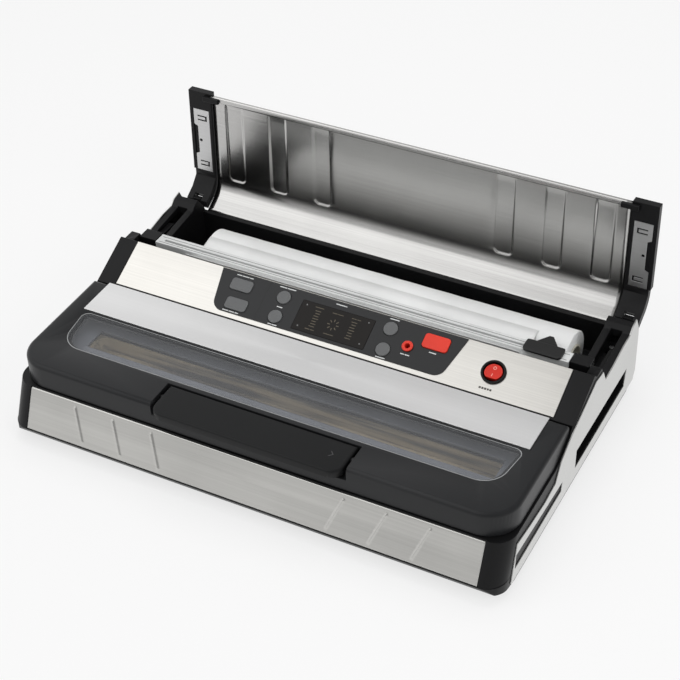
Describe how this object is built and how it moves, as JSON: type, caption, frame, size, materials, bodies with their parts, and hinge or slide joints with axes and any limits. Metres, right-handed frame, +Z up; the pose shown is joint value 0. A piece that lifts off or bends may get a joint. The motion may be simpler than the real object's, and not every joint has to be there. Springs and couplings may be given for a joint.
{
  "type": "vacuum sealer",
  "caption": "Countertop vacuum sealer with a windowed drop-down sealing lid and lever, sloping button panel, rear bag-roll bay with film cutter, and a hinged storage lid standing open.",
  "frame": {"origin": "floor level under the middle of the box around the part", "axes": "+X to the user's right along the length, +Y to the back, +Z up"},
  "size_m": [0.394, 0.282, 0.1475],
  "materials": {
    "black_plastic": "satin moulded plastic",
    "brushed_steel": "brushed across the width",
    "satin_metal": "satin",
    "overlay_black": "printed film",
    "smoked": "smoked glossy",
    "red_plastic": "glossy",
    "circuit": "circuit board",
    "tray_grey": "moulded",
    "foam": "closed cell foam",
    "bar_alloy": "mill",
    "tape_tan": "glass cloth with a non stick coat",
    "steel": "plain",
    "bag_film": "embossed bag film",
    "motor_can": "plated",
    "pump_plastic": "moulded",
    "hose_clear": "silicone",
    "iron": "laminated",
    "rubber": "matt",
    "lid_black": "satin moulded plastic",
    "clear_window": "clear moulded plastic",
    "clear_rail": "frosted clear plastic",
    "card": "pressed card",
    "grey_button": "satin"
  },
  "bodies": {
    "housing": {"main_housing": "black_plastic", "roll_bay_tub": "black_plastic", "base_pan": "black_plastic", "front_panel": "brushed_steel", "left_side_panel": "satin_metal", "right_side_panel": "satin_metal", "grip_cups": "black_plastic", "control_plate": "brushed_steel", "control_overlay": "overlay_black", "display_lens": "smoked", "accessory_port": "red_plastic", "power_bezel": "black_plastic", "control_board": "circuit", "chamber_tray": "tray_grey", "lower_gasket": "foam", "seal_bar": "bar_alloy", "seal_tape": "tape_tan", "latch_keepers": "steel", "lid_hinge_ears": "black_plastic", "storage_hinge_brackets": "black_plastic", "rail_pivot_blocks": "black_plastic", "film_end": "bag_film", "pump_motor": "motor_can", "pump_head": "pump_plastic", "vacuum_hose": "hose_clear", "transformer": "iron", "power_board": "circuit", "cord_grommet": "rubber", "feet": "rubber", "pan_screws": "steel"},
    "vacuum_lid": {"lid_frame": "lid_black", "lid_window": "clear_window", "lid_plate": "brushed_steel", "gasket_carrier": "black_plastic", "upper_gasket": "foam", "pressure_strip": "rubber", "lid_hinge_pins": "steel"},
    "lever": {"lid_lever": "lid_black", "lever_shaft": "steel", "latch_hooks": "black_plastic"},
    "storage_lid": {"storage_lid_sheet": "brushed_steel", "left_lid_cap": "black_plastic", "right_lid_cap": "black_plastic", "storage_lid_inlays": "satin_metal", "storage_lid_catches": "black_plastic", "storage_hinge_pins": "steel"},
    "rail": {"cutter_rail": "clear_rail"},
    "cutter": {"cutter_slider": "black_plastic", "cutter_blade": "steel"},
    "roll": {"film_roll": "bag_film", "roll_core": "card"},
    "crank": {"pump_crank": "pump_plastic"},
    "rocker": {"power_rocker": "red_plastic"},
    "upper_left_button_body": {"upper_left_button": "grey_button"},
    "lower_left_button_body": {"lower_left_button": "grey_button"},
    "mode_button_body": {"mode_button": "grey_button"},
    "food_button_body": {"food_button": "grey_button"},
    "upper_right_button_body": {"upper_right_button": "grey_button"},
    "lower_right_button_body": {"lower_right_button": "grey_button"},
    "red_button_body": {"red_button": "red_plastic"}
  },
  "joints": [
    {"name": "vacuum_lid_hinge", "type": "hinge", "parent": "housing", "child": "vacuum_lid", "pos_m": [0, -0.026, 0.0585], "axis": [-1, 0, 0], "range_deg": [0, 65]},
    {"name": "lever_pivot", "type": "hinge", "parent": "vacuum_lid", "child": "lever", "pos_m": [0, -0.112, 0.0605], "axis": [1, 0, 0], "range_deg": [0, 10], "stiffness_Nm_per_rad": 0.6, "springref_deg": -3.44},
    {"name": "storage_lid_hinge", "type": "hinge", "parent": "housing", "child": "storage_lid", "pos_m": [0, 0.118, 0.053], "axis": [-1, 0, 0], "range_deg": [-87, 0]},
    {"name": "cutter_rail_pivot", "type": "hinge", "parent": "housing", "child": "rail", "pos_m": [0, 0.042, 0.0695], "axis": [-1, 0, 0], "range_deg": [0, 30]},
    {"name": "cutter_slide", "type": "slide", "parent": "rail", "child": "cutter", "axis": [1, 0, 0], "range_m": [-0.303, 0.004]},
    {"name": "roll_spin", "type": "hinge", "parent": "housing", "child": "roll", "pos_m": [0.0125, 0.0646, 0.0465], "axis": [1, 0, 0], "continuous": true},
    {"name": "pump_crank_spin", "type": "hinge", "parent": "housing", "child": "crank", "pos_m": [-0.073, 0.002, 0.028], "axis": [1, 0, 0], "continuous": true},
    {"name": "power_rocker_pivot", "type": "hinge", "parent": "housing", "child": "rocker", "pos_m": [0.1275, 0.0054, 0.06508], "axis": [1, 0, 0], "range_deg": [0, 12]},
    {"name": "upper_left_button_press", "type": "slide", "parent": "housing", "child": "upper_left_button_body", "axis": [0, 0.4368, -0.8996], "range_m": [0, 0.0008], "stiffness_N_per_m": 600, "springref_m": -0.0005},
    {"name": "lower_left_button_press", "type": "slide", "parent": "housing", "child": "lower_left_button_body", "axis": [0, 0.4368, -0.8996], "range_m": [0, 0.0008], "stiffness_N_per_m": 600, "springref_m": -0.0005},
    {"name": "mode_button_press", "type": "slide", "parent": "housing", "child": "mode_button_body", "axis": [0, 0.4368, -0.8996], "range_m": [0, 0.0008], "stiffness_N_per_m": 600, "springref_m": -0.0005},
    {"name": "food_button_press", "type": "slide", "parent": "housing", "child": "food_button_body", "axis": [0, 0.4368, -0.8996], "range_m": [0, 0.0008], "stiffness_N_per_m": 600, "springref_m": -0.0005},
    {"name": "upper_right_button_press", "type": "slide", "parent": "housing", "child": "upper_right_button_body", "axis": [0, 0.4368, -0.8996], "range_m": [0, 0.0008], "stiffness_N_per_m": 600, "springref_m": -0.0005},
    {"name": "lower_right_button_press", "type": "slide", "parent": "housing", "child": "lower_right_button_body", "axis": [0, 0.4368, -0.8996], "range_m": [0, 0.0008], "stiffness_N_per_m": 600, "springref_m": -0.0005},
    {"name": "red_button_press", "type": "slide", "parent": "housing", "child": "red_button_body", "axis": [0, 0.4368, -0.8996], "range_m": [0, 0.0008], "stiffness_N_per_m": 600, "springref_m": -0.0005}
  ]
}
